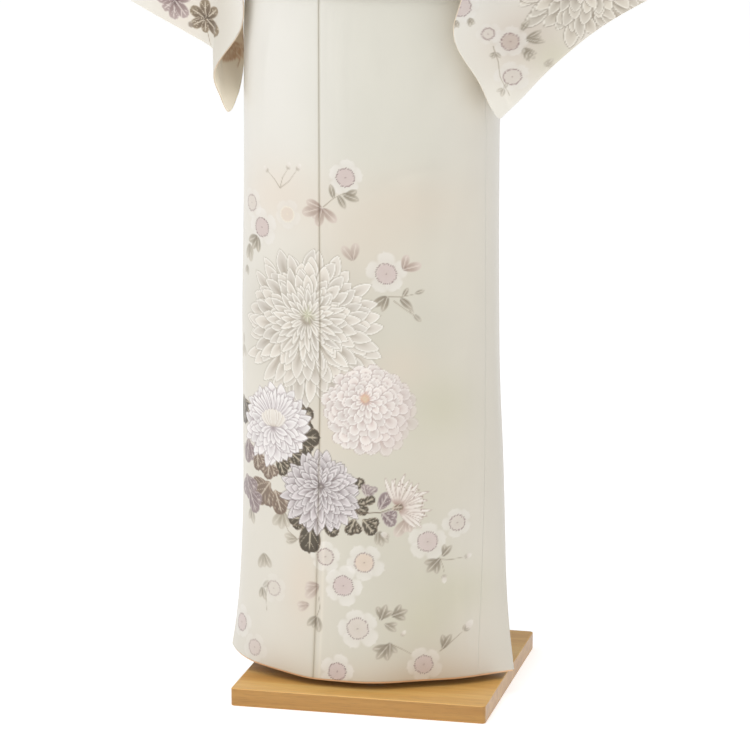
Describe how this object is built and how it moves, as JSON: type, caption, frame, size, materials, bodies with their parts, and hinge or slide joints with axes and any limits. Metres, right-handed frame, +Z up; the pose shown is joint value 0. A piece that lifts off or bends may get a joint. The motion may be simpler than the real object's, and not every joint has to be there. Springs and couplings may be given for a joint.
{
  "type": "houmongi kimono on a dress form stand",
  "caption": "Formal kimono wrapped left over right on a limbless dress form above a square wooden board, its sleeves held out on rods and its hem, neck and cuffs open.",
  "frame": {"origin": "middle of the part's footprint, on the ground under the board", "axes": "+Z up, -Y towards the front of the garment, +X towards the wearer's left"},
  "size_m": [0.9152, 0.35, 1.4482],
  "materials": {
    "silk": "smooth lustrous silk, ivory to pale beige, with printed flowers",
    "lining_silk": "plain silk, soft tan",
    "sash_cloth": "plain woven cloth, off-white",
    "form_cover": "plain stretched cotton cover, pale grey-beige",
    "steel": "satin",
    "beech": "clear satin lacquer"
  },
  "bodies": {
    "root": {"body_left": "silk", "body_right": "silk", "okumi_left": "silk", "okumi_right": "silk", "collar": "silk", "over_collar": "silk", "sleeve_left": "silk", "sleeve_right": "silk", "hem_lining": "lining_silk", "sleeve_lining_left": "lining_silk", "sleeve_lining_right": "lining_silk", "waist_sash": "sash_cloth", "form_torso": "form_cover", "form_pole": "steel", "sleeve_rod_left": "steel", "sleeve_rod_right": "steel", "base_board": "beech"}
  },
  "joints": []
}
